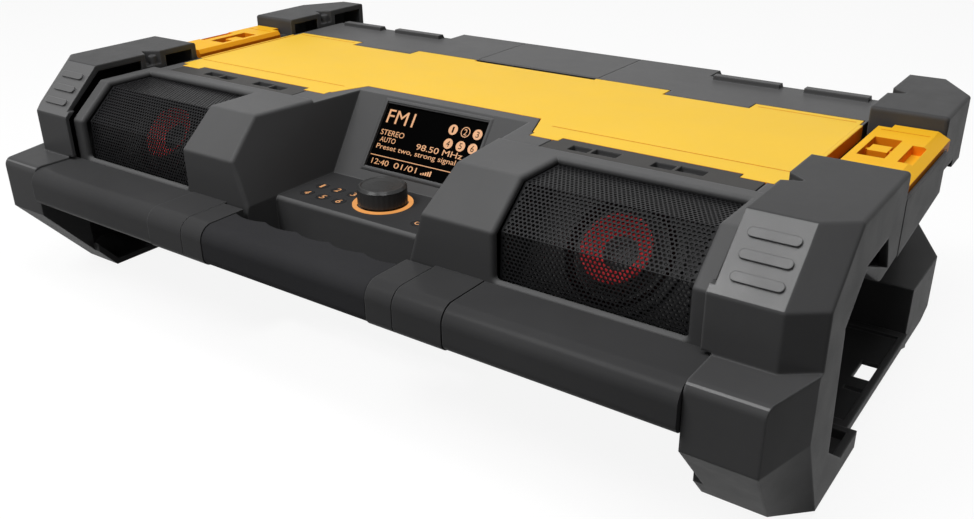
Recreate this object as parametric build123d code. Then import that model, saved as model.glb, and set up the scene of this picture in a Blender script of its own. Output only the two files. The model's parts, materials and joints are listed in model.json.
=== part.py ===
from build123d import *
import math
import os

os.makedirs("parts", exist_ok=True)

# A stackable jobsite radio in millimetres: X to the right, -Y is the front, +Z up,
# origin at the bottom centre of the whole object.

# ---------------------------------------------------------------- driving dimensions
width = 554.0              # over the corner bumpers
depth = 379.0              # front bar to rear corner blocks
height = 145.5             # floor to the bumper plateaus
wall = 3.5                 # moulded case wall
seat_gap = 0.3             # between pieces that move past each other
slip = 0.05                # radial clearance of a pin in its bore
skin = 0.02                # assembly clearance between fixed curved faces

half_width = width / 2
front = -depth / 2
rear = depth / 2

# main case
side_depth = 49.0          # bumpers outside the case, each side
body_half = half_width - side_depth
body_front = front + 35.5  # front wall behind the carry bar
body_rear = rear - 29.5
floor_z = 5.0              # underside of the lower shell
parting_z = 62.0           # lower shell to upper deck
deck_z = height - 11.5     # flat top of the deck and of the lid
hood_z = height - 9.5      # raised front part of the deck
hood_back = front + 104.5  # where the raised part steps down to the deck
hood_fold = front + 61.0   # top edge of the front slope
slope_foot_z = hood_z - 21.5
hood_round = 2.5           # rounding of the hood's edges, the cheeks and the bay frames
rear_edge = rear - 81.0    # top rear edge of the deck sides
rear_hump = rear - 63.5    # top rear edge of the middle of the deck
rear_hump_half = 110.0
rear_lip_y = rear - 90.0   # raised lips along the rear edge of the deck
rear_lip_height = 3.0
rear_lips = ((116.0, 161.0), (177.0, 217.0))

# control console
shelf_drop = 48.0          # depth of the shelf under the hood
shelf_z = hood_z - shelf_drop
shelf_front = front + 58.5
shelf_half = 62.0
shelf_back = front + 108.9
shelf_round = 2.5          # rounding of the shelf's front edge
console_top_half = 66.0
console_front_half = 82.0
fascia_run = 36.0          # the display wall leans back this far over the shelf's depth
screen_width = 80.0
screen_height = 43.0
screen_z = hood_z - 23.0
knob_radius = 15.0
knob_height = 11.0
bush_radius = 4.5
shaft_radius = 3.0
ring_outer = 18.2
ring_inner = 15.6
knob_y = front + 86.0
button_radius = 4.2
button_travel = 1.0
button_row_front = front + 73.7
button_row_back = front + 87.0
button_columns = (50.5, 37.2, 24.0)
board_top = shelf_z - 12.5  # control board, component side

# carry bar
bar_top = shelf_z - 0.5
bar_height = 24.2
bar_depth = 33.0
bar_round_top = 9.5        # rounding of the top front edge
bar_round_low = 6.0
bar_end = body_half + 5.0  # where the bar meets the bumper
bracket_out = 110.4
bracket_in = 79.5
grip_half = 62.5
core_radius = 7.0
bar_joint = 0.6            # shadow gap between bar segments

# speaker bays
bay_in = 116.0
bay_out = body_half - 9.0
bay_low = bar_top + 1.2    # lip in front of the mesh foot
mesh_back = front + 94.5
mesh_fold = front + 63.5
mesh_fold_z = hood_z - 3.7
mesh_low = front + 42.0
mesh_low_z = hood_z - 22.5
mesh_foot = front + 40.5
mesh_foot_z = hood_z - 55.0
mesh_thick = 1.2
driver_x = (bay_in + bay_out) / 2
driver_y = front + 70.3
driver_z = hood_z - 32.2
driver_radius = 33.0
cone_radius = 26.5
dust_cap_radius = 13.5

# lid over the media bay
lid_half = body_half - 2.0
lid_front = front + 129.0
lid_back_out = rear - 128.5
lid_back_in = rear - 139.5
lid_back_mid = rear - 131.5
lid_thick = 4.2
lid_gap = 0.6
notch_wide = 78.0
notch_narrow = 68.0
notch_back = front + 153.5
lid_tab_reach = 5.5        # snap tabs hang over the deck in front of the lid
lid_tab_thick = 1.4
lid_tabs = ((notch_wide + 1.5, notch_wide + 20.0), (lid_half - 23.0, lid_half - 5.5))
strip_in = 94.0            # inlaid strips with hook pockets in front of the lid
strip_out = bay_out - 2.0
strip_seam = 1.0
pocket_front = hood_back + 9.0
pocket_pairs = (strip_in + 28.5, strip_out - 45.5)
hatch_half = lid_half - 12.0
hatch_front = front + 139.0
hatch_back = rear - 146.0
lid_axis_y = rear - 133.5
lid_axis_z = deck_z - lid_thick
barrel_radius = 3.6
pin_radius = 1.5
ear_length = 8.0
lug_in = 104.5
lug_out = 160.5
tray_floor_z = 74.0

# screws through the case
screw_radius = 2.0
screw_seat_z = 15.0        # underside of the screw heads' seat
screw_front_y = front + 120.5
screw_back_y = rear - 89.5
boss_radius = 5.0

# cover over the battery bay
cover_half = 49.5
cover_front = rear - 125.5
cover_axis_y = rear - 120.0
cover_axis_z = deck_z - 5.0
cover_thick = 3.5
cover_drop = 20.0
battery_half = 44.0
cover_lug_radius = 3.2
battery_front = rear - 111.0
battery_back = rear - 40.0
battery_floor_z = 70.0

# corner bumpers
bumper_in = body_half + 2.5
plateau_front = front + 60.5
plateau_back = front + 144.5
bumper_round = 2.0         # rounding of the upper edges
rib_foot = front + 30.0
rib_foot_z = height - 28.5
ledge_z = height - 56.8
ledge_round = 5.0
block_front = front + 3.5
corner_flat = half_width - 15.4  # where the plan chamfer of the front corner starts
corner_side = front + 72.5
block_flat = half_width - 9.2
block_side = front + 38.5
block_low_z = height - 90.5      # under this the block slopes back to its sole
block_toe = front + 47.5         # front and side ends of the sole
block_toe_x = half_width - 16.5
block_toe_side = front + 64.0
block_heel = front + 124.0
recess_front = front + 66.5      # hand hold in the side
bumper_wall = 4.0
arm_z = height - 46.5      # underside of the arm over the hand hold
bead_radius = 2.6          # round bead in the notch of each plateau
notch_depth = 9.0
notch_drop = 9.0
front_notch = front + 99.0
rear_bumper_front = rear - 137.5
rear_bumper_back = rear - 51.5
rear_bumper_out = half_width - 5.0
rear_side_back = rear - 83.5     # where the rear corners turn inwards
rear_column = 12.0               # rear column outside the case
rear_block_out = half_width - 6.0
rear_block_z = 42.0
rear_notch = rear - 105.0
beam_back = rear - 3.0     # rear beam of the lower shell, between the corner blocks
beam_top = 50.0
pad_thick = 3.0
rail_top = 13.0
rail_rim = 3.5
rail_slots = ((0.0, 21.0), (-23.0, 4.5))   # middle and length along Y

# side latches
latch_in = body_half + 8.0
latch_out = half_width - 2.4
latch_front = plateau_back + 1.3
latch_back = rear_bumper_front - 1.1
latch_middle = (latch_front + latch_back) / 2
latch_top = height - 8.0
latch_axis_x = latch_in + 4.0
latch_axis_z = latch_top - 9.0
latch_pin_radius = 2.0
latch_post_radius = 4.8


# ---------------------------------------------------------------- helpers
def prism_x(points, x0, x1):
    """A side profile of (y, z) points, run from x0 to x1."""
    face = Plane((x0, 0, 0), (0, 1, 0), (1, 0, 0)) * make_face(Polyline(*points, close=True))
    return extrude(face, x1 - x0, dir=(1, 0, 0))


def prism_y(points, y0, y1):
    """A front profile of (x, z) points, run from y0 to y1."""
    face = Plane((0, y0, 0), (1, 0, 0), (0, -1, 0)) * make_face(Polyline(*points, close=True))
    return extrude(face, y1 - y0, dir=(0, 1, 0))


def prism_z(points, z0, z1):
    """A plan outline of (x, y) points, run from z0 to z1."""
    face = Plane((0, 0, z0)) * make_face(Polyline(*points, close=True))
    return extrude(face, z1 - z0, dir=(0, 0, 1))


def block(x0, x1, y0, y1, z0, z1):
    return Pos((x0 + x1) / 2, (y0 + y1) / 2, (z0 + z1) / 2) * Box(x1 - x0, y1 - y0, z1 - z0)


def rod_x(x0, x1, y, z, radius):
    return Pos((x0 + x1) / 2, y, z) * Rot(0, 90, 0) * Cylinder(radius, x1 - x0)


def rod_y(y0, y1, x, z, radius):
    return Pos(x, (y0 + y1) / 2, z) * Rot(90, 0, 0) * Cylinder(radius, y1 - y0)


def rod_z(z0, z1, x, y, radius):
    return Pos(x, y, (z0 + z1) / 2) * Cylinder(radius, z1 - z0)


def other_side(shape):
    return mirror(shape, about=Plane.YZ)


def both_sides(shape):
    return shape + other_side(shape)


def save(name, shape):
    """Write one node; a node of several loose pieces keeps them as separate solids."""
    solids = shape.solids()
    part = solids[0] if len(solids) == 1 else Compound(children=list(solids))
    part.label = name
    export_step(part, f"parts/{name}.step")


def save_pair(name, right):
    save(f"{name}_right", right)
    save(f"{name}_left", other_side(right))


# ---------------------------------------------------------------- case profiles
def deck_profile(inset=0.0, open_below=0.0):
    """Side profile of the upper deck, moved inwards by the wall for the hollow."""
    slope = inset * 0.5
    return [
        (body_front + inset, parting_z - open_below),
        (body_front + inset, slope_foot_z - slope),
        (hood_fold + slope, hood_z - inset),
        (hood_back - inset, hood_z - inset),
        (hood_back - inset, deck_z - inset),
        (rear_edge - slope, deck_z - inset),
        (body_rear - inset, deck_z - (body_rear - rear_edge) - slope),
        (body_rear - inset, parting_z - open_below),
    ]


def hump_profile(inset=0.0, open_below=0.0):
    """The middle of the deck runs further back before it slopes down."""
    slope = inset * 0.5
    return [
        (rear_edge - 10, parting_z - open_below),
        (rear_edge - 10, deck_z - inset),
        (rear_hump - slope, deck_z - inset),
        (body_rear - inset, deck_z - (body_rear - rear_hump) - slope),
        (body_rear - inset, parting_z - open_below),
    ]


def recess_shape(grow=0.0):
    """The space over the control shelf: a slanted wedge and the drop in front of it."""
    lean = fascia_run / shelf_drop
    low = shelf_z - grow
    high = hood_z + 6
    far = body_front - 30
    side_lean = (console_front_half - shelf_half) / (hood_z - shelf_z)
    back_lean = (console_top_half - shelf_half) / (hood_z - shelf_z)

    def outline(z):
        rise = z - shelf_z
        wide = shelf_half + side_lean * rise + grow
        narrow = shelf_half + back_lean * rise + grow
        back = shelf_back + lean * rise + grow * 1.25
        return [(-wide, far), (wide, far), (narrow, back), (-narrow, back)]

    faces = [Plane((0, 0, z)) * make_face(Polyline(*outline(z), close=True)) for z in (low, high)]
    wedge = loft(faces)
    half = shelf_half + grow
    drop = block(-half, half, far, shelf_front + grow, parting_z - 30, low + 0.01)
    return wedge + drop


def bay_opening(grow=0.0):
    """The speaker opening: everything above and in front of a cut from top to front."""
    points = [
        (mesh_back + grow, hood_z + 20),
        (mesh_back + grow, hood_z - 30),
        (mesh_fold, bay_low - grow),
        (body_front - 20, bay_low - grow),
        (body_front - 20, hood_z + 20),
    ]
    return prism_x(points, bay_in - grow, bay_out + grow)


def lid_outline(grow=0.0):
    """Plan outline of the lid, notched for the console and stepped at the hinge."""
    half = lid_half + grow
    right = [
        (notch_narrow - grow, notch_back - grow),
        (notch_wide - grow, lid_front - grow),
        (half, lid_front - grow),
        (half, lid_back_out + grow),
        (lug_out + 0.8 - grow, lid_back_out + grow),
        (lug_out + 0.8 - grow, lid_back_in + grow),
        (lug_in - 0.8 + grow, lid_back_in + grow),
        (lug_in - 0.8 + grow, lid_back_out + grow),
        (cover_half + grow, lid_back_out + grow),
        (cover_half + grow, lid_back_mid + grow),
    ]
    left = [(-x, y) for x, y in reversed(right)]
    return right + left


def hatch_outline(inset=0.0):
    """Plan outline of the opening into the media bay."""
    right = [
        (notch_wide + 4 + inset, hatch_front + inset),
        (hatch_half - inset, hatch_front + inset),
        (hatch_half - inset, hatch_back - inset),
    ]
    left = [(-x, y) for x, y in reversed(right)]
    notch = [(-notch_narrow - inset, notch_back + 9 + inset), (notch_narrow + inset, notch_back + 9 + inset)]
    return right + left + notch


def mesh_path(offset=0.0):
    """Outer line of the faceted speaker mesh, or a line the offset behind it."""
    drop = offset * 0.42
    return [
        (mesh_back, mesh_fold_z - offset),
        (mesh_fold + drop, mesh_fold_z - offset),
        (mesh_low + offset, mesh_low_z - drop),
        (mesh_foot + offset, mesh_foot_z),
    ]


# ---------------------------------------------------------------- control layout
fascia_angle = math.degrees(math.atan2(shelf_drop, fascia_run))
screen_y = shelf_back + (screen_z - shelf_z) * fascia_run / shelf_drop
fascia = Plane((0, screen_y, screen_z), (1, 0, 0),
               (0, -math.sin(math.radians(fascia_angle)), math.cos(math.radians(fascia_angle))))
preset_spots = [(-x, button_row_back) for x in button_columns]
preset_spots += [(-x, button_row_front) for x in button_columns]
command_spots = {
    "power_button": (button_columns[1], button_row_front),
    "source_button": (button_columns[1], button_row_back),
    "menu_button": (button_columns[0], button_row_front),
    "play_button": (button_columns[0], button_row_back),
}
button_spots = {f"preset_button_{i + 1}": spot for i, spot in enumerate(preset_spots)}
button_spots.update(command_spots)
shelf_under = shelf_z - wall


# ---------------------------------------------------------------- moving covers: shared cuts
def hinge_trench():
    """Room for the rear edge and the barrels of the lid to turn in the deck."""
    reach = math.hypot(lid_back_out - lid_axis_y, lid_thick) + 0.5
    return rod_x(-lid_half - lid_gap, lid_half + lid_gap, lid_axis_y, lid_axis_z, reach)


def lug_zone():
    """The two deck lugs between the lid ears, rounded for the lid to turn past."""
    lug = block(lug_in, lug_out, lid_back_in + lid_gap, lid_back_out + 10,
                lid_axis_z - 12, deck_z)
    corner = block(lug_in, lug_out, lid_back_in, lid_axis_y - 3, lid_axis_z + 0.5, deck_z + 1)
    corner -= rod_x(lug_in, lug_out, lid_axis_y, lid_axis_z, lid_axis_y - lid_back_in - seat_gap)
    return both_sides(lug - corner)


def cover_outline(grow=0.0):
    """Side profile of the rear cover with its rear slope."""
    drop_y = rear_hump + cover_drop
    return [
        (cover_front - grow, deck_z + 1 if grow else deck_z),
        (rear_hump, deck_z + 1 if grow else deck_z),
        (drop_y + grow, deck_z - cover_drop + 0.4 * grow),
        (drop_y - cover_thick * 0.7 - grow, deck_z - cover_drop - cover_thick * 0.7 - grow),
        (rear_hump - cover_thick * 0.4, deck_z - cover_thick - grow),
        (cover_front - grow, deck_z - cover_thick - grow),
    ]


# ---------------------------------------------------------------- case screws
screw_spots = [(sx * x, y) for sx in (-1, 1)
               for x, y in ((body_half - 28.0, screw_front_y), (104.0, screw_front_y),
                            (body_half - 28.0, screw_back_y), (70.0, screw_back_y))]


def make_screws():
    """Long screws from below that hold the deck down on the lower shell."""
    group = []
    for x, y in screw_spots:
        head = rod_z(screw_seat_z - 3.0, screw_seat_z, x, y, 3.8)
        head -= rod_z(screw_seat_z - 4.0, screw_seat_z - 1.2, x, y, 1.6)
        group.append(head + rod_z(screw_seat_z, parting_z + 14.0, x, y, screw_radius))
    return Compound(children=group)


# ---------------------------------------------------------------- main case
def rim_edges(shape, x0, x1, y1):
    """Edges of an opening in the hood that lie on its outer surface, in front of y1."""
    found = []
    for edge in shape.edges():
        spot = edge.center()
        on_top = abs(spot.Z - hood_z) < 0.05
        if x0 < abs(spot.X) < x1 and spot.Y < y1 and spot.Z > shelf_z - 1 \
                and (on_top or spot.Y < hood_fold + 1):
            found.append(edge)
    return found


def make_upper_deck():
    outer = prism_x(deck_profile(), -body_half, body_half)
    outer -= recess_shape()
    outer -= both_sides(bay_opening())
    shelf_edge = [e for e in outer.edges() if e.length > 1.9 * shelf_half
                  and abs(e.center().Y - shelf_front) < 0.1 and abs(e.center().Z - shelf_z) < 0.1]
    outer = fillet(shelf_edge, shelf_round)
    folds = [e for e in outer.edges().filter_by(Axis.X)
             if e.center().Y < hood_fold + 1 and e.center().Z > slope_foot_z - 1]
    cheeks = rim_edges(outer, shelf_half, console_front_half + 1, hood_back)
    frames = rim_edges(outer, bay_in - 1, bay_out + 1, mesh_back + 1)
    outer = fillet(folds + cheeks + frames, hood_round)
    outer += prism_x(hump_profile(), -rear_hump_half, rear_hump_half)
    hollow_half = body_half - wall
    hollow = prism_x(deck_profile(wall, 10), -hollow_half, hollow_half)
    hollow += prism_x(hump_profile(wall, 10), -rear_hump_half + wall, rear_hump_half - wall)
    # material is kept round the console, under the lid and at the hinge lugs
    hollow -= recess_shape(wall)
    hollow -= prism_z(lid_outline(lid_gap + wall), lid_axis_z - 2 * wall, deck_z + 10)
    hollow -= block(-cover_half - 6, cover_half + 6, lid_back_mid, battery_front + 1,
                    cover_axis_z - 8, deck_z)
    deck = outer - hollow
    # seat of the lid, the hatch and the hinge
    deck -= prism_z(lid_outline(lid_gap), lid_axis_z - seat_gap, deck_z + 10)
    deck -= prism_z(hatch_outline(), lid_axis_z - 30, deck_z + 10)
    deck -= make_gasket()
    deck -= hinge_trench() - lug_zone()
    deck -= rod_x(-lug_out - ear_length - 1, lug_out + ear_length + 1, lid_axis_y, lid_axis_z,
                  pin_radius + slip)
    # inlaid strips with pairs of hook pockets in front of the lid
    seam = block(strip_in, strip_out, hood_back, lid_front, deck_z - 1.5, hood_z + 1)
    seam -= block(strip_in + strip_seam, strip_out - strip_seam, hood_back + strip_seam, lid_front,
                  deck_z - 2, hood_z + 2)
    deck -= both_sides(seam)
    for x in pocket_pairs:
        for x0, x1, y0 in ((x - 13, x - 0.8, pocket_front), (x + 0.8, x + 16, pocket_front + 1)):
            deck -= both_sides(block(x0, x1, y0, y0 + 8.0, deck_z - 3, deck_z + 1))
    # room for the snap tabs of the lid
    for x0, x1 in lid_tabs:
        deck -= both_sides(block(x0 - 0.5, x1 + 0.5, lid_front - lid_tab_reach - 0.5, lid_front,
                                 deck_z - lid_tab_thick - 0.5, deck_z + 1))
    # raised lips along the rear edge
    for x0, x1 in rear_lips:
        lip = prism_x([(rear_lip_y, deck_z - 1), (rear_lip_y + 0.8, deck_z + rear_lip_height),
                       (rear_lip_y + 6.5, deck_z + rear_lip_height), (rear_edge, deck_z - 1)], x0, x1)
        deck += both_sides(lip)
    # console openings
    deck -= fascia * Box(screen_width, screen_height, 4 * wall)
    deck -= rod_z(shelf_under - 1, shelf_z + 1, 0, knob_y, ring_outer + skin) \
        - rod_z(shelf_under - 1, shelf_z - 1.0, 0, knob_y, ring_outer + 2)
    deck -= rod_z(shelf_under - 1, shelf_z + 1, 0, knob_y, bush_radius + 0.1)
    for x, y in button_spots.values():
        deck -= rod_z(shelf_under - 1, shelf_z + 1, x, y, button_radius + seat_gap)
    # opening for the rear cover and its swing
    deck -= prism_x(cover_outline(lid_gap), -cover_half - lid_gap, cover_half + lid_gap)
    deck -= block(-battery_half, battery_half, battery_front, battery_back, deck_z - 40, deck_z + 1)
    for x, y in screw_spots:
        deck += rod_z(parting_z, deck_z - 2.0, x, y, boss_radius)
        deck -= rod_z(parting_z - 1, parting_z + 18.0, x, y, screw_radius + skin)
    reach = math.hypot(cover_axis_y - cover_front, deck_z - cover_axis_z) + 0.5
    deck -= rod_x(-cover_half - lid_gap, cover_half + lid_gap, cover_axis_y, cover_axis_z, reach)
    for x in (-20, 20):
        deck += block(x - 6, x + 6, cover_axis_y - cover_lug_radius, cover_axis_y + cover_lug_radius,
                      cover_axis_z - 12, cover_axis_z)
        deck += rod_x(x - 6, x + 6, cover_axis_y, cover_axis_z, cover_lug_radius)
    deck -= rod_x(-cover_half, cover_half, cover_axis_y, cover_axis_z, pin_radius + slip)
    return deck


def make_lower_shell():
    points = [
        (body_front, parting_z),
        (body_front, parting_z - 16),
        (front + 97.5, floor_z),
        (rear - 40.0, floor_z),
        (beam_back, 24.0),
        (beam_back, rear_block_z),
        (body_rear, beam_top),
        (body_rear, parting_z),
    ]
    inner = [
        (body_front + wall, parting_z + 1),
        (body_front + wall, parting_z - 14.5),
        (front + 98.8, floor_z + wall),
        (rear - 41.5, floor_z + wall),
        (beam_back - wall, 25.5),
        (beam_back - wall, rear_block_z - 2.5),
        (body_rear - wall, beam_top - 2.5),
        (body_rear - wall, parting_z + 1),
    ]
    shell = prism_x(points, -body_half, body_half)
    hollow = prism_x(inner, -body_half + wall, body_half - wall)
    # the hand gap behind the grip stays clear
    gap = block(-shelf_half, shelf_half, front, shelf_front, 0, parting_z + 1)
    gap_wall = block(-shelf_half - wall, shelf_half + wall, front, shelf_front + wall,
                     0, parting_z + 1)
    shell = shell - (hollow - gap_wall) - gap
    for x, y in screw_spots:
        shell += rod_z(floor_z, parting_z, x, y, boss_radius + 1.0)
        shell -= rod_z(floor_z - 1, screw_seat_z, x, y, 4.1)
        shell -= rod_z(floor_z, parting_z + 1, x, y, screw_radius + 0.2)
    return shell


# ---------------------------------------------------------------- carry bar
def bar_profile(grow=0.0):
    """Section of the bar as (y, z): round at the front, square at the back."""
    z0 = bar_top - bar_height
    return (front - grow, front + bar_depth, z0 - grow, bar_top + grow)


def bar_segment(x0, x1, back=0.0, grow=0.0):
    """One hollow length of the bar, bored for its steel core."""
    y0, y1, z0, z1 = bar_profile(grow)
    solid = block(x0, x1, y0, y1 + back, z0, z1)
    low, high = solid.edges().filter_by(Axis.X).sort_by(Axis.Y)[:2].sort_by(Axis.Z)
    solid = fillet(low, bar_round_low)
    high = solid.edges().filter_by(Axis.X).filter_by_position(Axis.Z, z1 - 0.01, z1 + 0.01)
    solid = fillet(high.sort_by(Axis.Y)[0], bar_round_top)
    return solid - rod_x(x0 - 1, x1 + 1, front + 15.0, bar_top - bar_height / 2,
                         core_radius + skin)


def make_grip():
    """The middle of the bar, with waves along its back for the fingers."""
    grip = bar_segment(-grip_half + bar_joint, grip_half - bar_joint)
    grip -= block(-grip_half, grip_half, front + 27.0, front + bar_depth + 1, 0, hood_z)
    pitch = 2 * grip_half / 5
    for i in range(5):
        x = -grip_half + pitch * (i + 0.5)
        grip -= rod_z(bar_top - bar_height - 1, bar_top + 1, x, front + 27.0 + 26.0, 28.5)
    return grip


# ---------------------------------------------------------------- bumpers and sides
def rounded_nose(y, z, radius, steps=6):
    """Points of a rounded front top corner at (y, z), from the top round to the front."""
    turn = [math.radians(90 * i / steps) for i in range(steps + 1)]
    return [(y + radius * (1 - math.sin(a)), z - radius * (1 - math.cos(a))) for a in turn]


def notch_shape(y, top, grow=0.0):
    """The V notch in the inner edge of a plateau, open upwards."""
    plan = [(bumper_in - 3, y - 1.2 * grow), (bumper_in + notch_depth + grow, y + 5.0),
            (bumper_in + notch_depth + grow, y + 7.0), (bumper_in - 3, y + 16.0 + 1.2 * grow)]
    return prism_z(plan, top - notch_drop - grow, top + 1)


def soften(shape, low_z):
    """Round the outer edges of a bumper that lie above low_z."""
    edges = [e for e in shape.edges() if e.center().Z > low_z and e.center().X > body_half + 0.6]
    return fillet(edges, bumper_round)


def front_bumper_body(inset=0.0):
    """Outer form of a front corner; with an inset, the hollow inside its wall."""
    k = inset
    side = [
        (plateau_back - k, height - k),
        (plateau_front + 0.4 * k, height - k),
        (rib_foot + 0.6 * k, rib_foot_z - 0.4 * k),
        (rib_foot + 0.6 * k, ledge_z - k),
        *rounded_nose(block_front + k, ledge_z - k, max(ledge_round - k, 1.0)),
        (block_front + k, block_low_z + 0.4 * k),
        (block_toe + 0.5 * k, pad_thick + k),
        (block_heel - k, pad_thick + k),
        (block_heel - k, rail_top),
        (front + 97.0 - k, rail_top),
        (front + 72.0 - k, 31.0),
        (recess_front - k, ledge_z + 8.0),
        (front + 88.0 - k, rib_foot_z - 1.0),
        (front + 118.0 - k, arm_z + k),
        (plateau_back - k, arm_z + 2.7 + k),
    ]
    inner = body_half - 1 if inset else body_half
    body = prism_x(side, inner, half_width - k)
    # the chamfer follows the slope: it is swept down and forward with the rib facet
    run = plateau_front - rib_foot
    rise = height - rib_foot_z
    face_top = [(corner_flat - 0.6 * k, corner_side - 12.0), (half_width - k, corner_side),
                (half_width + 30, corner_side), (half_width + 30, corner_side - 60),
                (corner_flat - 0.6 * k, corner_side - 60)]
    face_low = [(x, y - run) for x, y in face_top]
    top = Plane((0, 0, height + 0.01)) * make_face(Polyline(*face_top, close=True))
    low = Plane((0, 0, height - rise)) * make_face(Polyline(*face_low, close=True))
    body -= loft([low, top])
    body -= prism_z(face_low, ledge_z - k, height - rise + 0.02)
    # the block's own chamfer spreads inwards and back towards the sole
    block_cut = [(block_flat - 0.5 * k, front - 20), (half_width + 20, front - 20),
                 (half_width + 20, block_side), (half_width - k, block_side),
                 (block_flat - 0.5 * k, block_front + 0.8 * k)]
    sole_cut = [(block_toe_x - 0.8 * k, front - 20), (half_width + 20, front - 20),
                (half_width + 20, block_toe_side), (half_width - k, block_toe_side + 0.3 * k),
                (block_toe_x - 0.8 * k, block_toe + 0.5 * k)]
    body -= prism_z(block_cut, block_low_z - 0.01, ledge_z + 0.5)
    upper_face = Plane((0, 0, block_low_z)) * make_face(Polyline(*block_cut, close=True))
    lower_face = Plane((0, 0, pad_thick - 0.01)) * make_face(Polyline(*sole_cut, close=True))
    body -= loft([lower_face, upper_face], ruled=True)
    # in front of the case the block starts at the end of the bar
    body -= block(inner - 1, bar_end, front - 5, body_front, -1, ledge_z + 1)
    return body


def make_front_bumper():
    outer = soften(front_bumper_body(), arm_z - 4)
    inner = front_bumper_body(bumper_wall)
    inner -= block(0, bar_end + bumper_wall, front - 5, body_front, 0, ledge_z + 1)
    inner -= notch_shape(front_notch, height, bumper_wall)
    shell = outer - inner
    # the top stands clear of the case along its inner edge
    shell -= block(body_half - 1, bumper_in, rib_foot - 5, plateau_back + 1, rib_foot_z + 3, height + 1)
    shell -= notch_shape(front_notch, height)
    shell += rod_z(height - notch_drop - 1, height - 3, bumper_in + 3, front_notch + 9, bead_radius)
    # three long ribs across the front slope
    run, rise = plateau_front - rib_foot, height - rib_foot_z
    for t in (0.256, 0.508, 0.761):
        spot = ((bumper_in + corner_flat) / 2 + 0.7, plateau_front - t * run, height - t * rise)
        rib = Plane(spot, (1, 0, 0), (0, -rise, run)) * SlotOverall(corner_flat - bumper_in - 8, 4.7)
        shell += extrude(rib, 1.2, both=True)
    # three-cornered window in the side
    shell -= prism_x([(front + 86.5, height - 26.0), (front + 118.5, height - 24.5),
                      (front + 127.0, height - 42.5)], half_width - bumper_wall - 1, half_width + 1)
    return shell


def rear_bumper_body(inset=0.0):
    """Outer form of a rear corner; with an inset, the hollow inside its wall."""
    k = inset
    inner = body_half - 1 if inset else body_half
    plan = [
        (inner, rear_bumper_front + k),
        (rear_bumper_out - k, rear_bumper_front + k),
        (rear_bumper_out - k, rear_side_back - 0.5 * k),
        (body_half + 24.0 - 0.5 * k, rear_bumper_back - k),
        (inner, rear_bumper_back - k),
    ]
    upper = prism_z(plan, height - 33.5 + k, height - k)
    if not inset:
        upper = soften(upper, height - 20)
    column_plan = [
        (inner, rear_side_back + 1 + k),
        (body_half + rear_column - k, rear_side_back + 1 + k),
        (body_half + rear_column - k, body_rear - 4.0 - k),
        (inner, body_rear - 4.0 - k),
    ]
    column = prism_z(column_plan, rear_block_z - 5, height - 32.5 + k)
    low_plan = [
        (inner, rear_bumper_front - 1.5 + k),
        (rear_block_out - k, rear_bumper_front - 1.5 + k),
        (rear_block_out - k, rear_side_back + 1 - 0.5 * k),
        (body_half + 4.0 - 0.5 * k, rear - k),
        (inner, rear - k),
    ]
    low = prism_z(low_plan, pad_thick + k, rear_block_z - k)
    toe = [(rear - 101.0, pad_thick - 1), (rear + 1, pad_thick - 1), (rear + 1, rear_block_z - 10)]
    low -= prism_x(toe, body_half - 2, half_width)
    return upper + column + low


def make_rear_bumper():
    outer = rear_bumper_body()
    inner = rear_bumper_body(bumper_wall) - notch_shape(rear_notch, height, bumper_wall)
    shell = outer - inner
    shell -= block(body_half - 1, bumper_in, rear_bumper_front - 1, rear_bumper_back + 1,
                   height - 20.5, height + 1)
    shell -= notch_shape(rear_notch, height)
    shell += rod_z(height - notch_drop - 1, height - 3, bumper_in + 3, rear_notch + 9, bead_radius)
    # tab under the outer edge
    shell += block(rear_bumper_out - bumper_wall, rear_bumper_out, rear_side_back - 20,
                   rear_side_back, height - 38.0, height - 33.0)
    return shell


def make_side_handle():
    """Upper side web with the shelf that carries the latch; the hand goes under it."""
    y0, y1 = plateau_back, rear_bumper_front
    web_in = half_width - 4.0
    lip_in = latch_out + 0.6
    lip_z = latch_axis_z + 3.0
    web = prism_y([(web_in, arm_z), (half_width, arm_z), (half_width, lip_z), (lip_in, lip_z),
                   (lip_in, lip_z - 8.0), (web_in, lip_z - 10.0)], y0, y1)
    shelf = block(body_half, web_in, y0, y1, arm_z + 13, arm_z + 16)
    handle = web + shelf
    handle += block(half_width - 8, web_in, y1 - 20, y1, arm_z + 5, lip_z - 10)
    for y in (y0 + 10, (y0 + y1) / 2, y1 - 13):
        handle += block(body_half, web_in, y, y + 3, arm_z, arm_z + 13)
    # the lower edge rises to the rear, and the rear end turns inwards
    handle -= prism_x([(y0 - 1, arm_z - 1), (y1 + 1, arm_z - 1), (y1 + 1, arm_z + 12.5),
                       (y0 - 1, arm_z + 2.6)], body_half - 1, half_width + 1)
    handle -= prism_z([(half_width, y1 - 18), (half_width + 5, y1 - 18), (half_width + 5, y1 + 1),
                       (rear_bumper_out + 0.4, y1 + 1)], arm_z - 1, height)
    # bearings of the latch pin
    for y in (y0, y1 - 6):
        handle += block(latch_axis_x - latch_post_radius, latch_axis_x + latch_post_radius, y, y + 6,
                        arm_z + 15, latch_axis_z)
        handle += rod_y(y, y + 6, latch_axis_x, latch_axis_z, latch_post_radius)
        handle -= rod_y(y - 1, y + 7, latch_axis_x, latch_axis_z, latch_pin_radius + skin)
    return handle


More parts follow.
